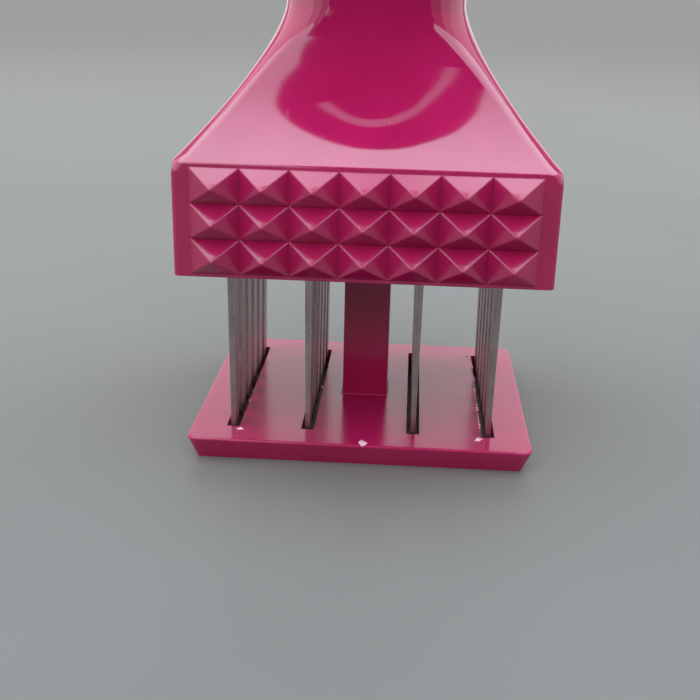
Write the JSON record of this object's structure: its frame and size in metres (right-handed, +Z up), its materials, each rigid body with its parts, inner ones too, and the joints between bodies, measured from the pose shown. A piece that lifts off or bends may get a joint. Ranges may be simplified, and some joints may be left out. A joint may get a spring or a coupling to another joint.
{
  "type": "blade meat tenderizer",
  "caption": "Hand-held blade meat tenderizer: rows of fixed needle blades behind a spring-loaded sliding guard plate, with a pyramid-faced mallet head and a tapered grip.",
  "frame": {"origin": "middle of the guard plate's underside, on the surface that the tool stands on", "axes": "+Z up the handle along the post, X across the wide pyramid faces, -Y the front pyramid face"},
  "size_m": [0.051, 0.0514, 0.1929],
  "materials": {
    "magenta_plastic": "glossy moulded magenta plastic with fine scuffs",
    "magenta_plastic_inner": "satin moulded magenta plastic",
    "blade_steel": "ground stainless steel, dull, lightly pitted",
    "screw_steel": "zinc-plated steel",
    "spring_steel": "drawn spring wire"
  },
  "bodies": {
    "handle": {"handle_body": "magenta_plastic", "end_cap": "magenta_plastic", "blade_carrier": "magenta_plastic_inner", "blade_clamp_plate": "magenta_plastic_inner", "carrier_screws": "screw_steel", "return_spring": "spring_steel", "blade_1_1": "blade_steel", "blade_1_2": "blade_steel", "blade_1_3": "blade_steel", "blade_1_4": "blade_steel", "blade_1_5": "blade_steel", "blade_1_6": "blade_steel", "blade_2_1": "blade_steel", "blade_2_2": "blade_steel", "blade_2_3": "blade_steel", "blade_2_4": "blade_steel", "blade_2_5": "blade_steel", "blade_2_6": "blade_steel", "blade_3_1": "blade_steel", "blade_3_2": "blade_steel", "blade_3_3": "blade_steel", "blade_3_4": "blade_steel", "blade_3_5": "blade_steel", "blade_3_6": "blade_steel", "blade_4_1": "blade_steel", "blade_4_2": "blade_steel", "blade_4_3": "blade_steel", "blade_4_4": "blade_steel", "blade_4_5": "blade_steel", "blade_4_6": "blade_steel"},
    "guard": {"guard_plate": "magenta_plastic", "post_washer": "screw_steel", "post_screw": "screw_steel"}
  },
  "joints": [
    {"name": "guard_slide", "type": "slide", "parent": "handle", "child": "guard", "axis": [0, 0, 1], "range_m": [0, 0.0241], "stiffness_N_per_m": 600, "springref_m": -0.01, "deforming": ["return_spring"]}
  ]
}
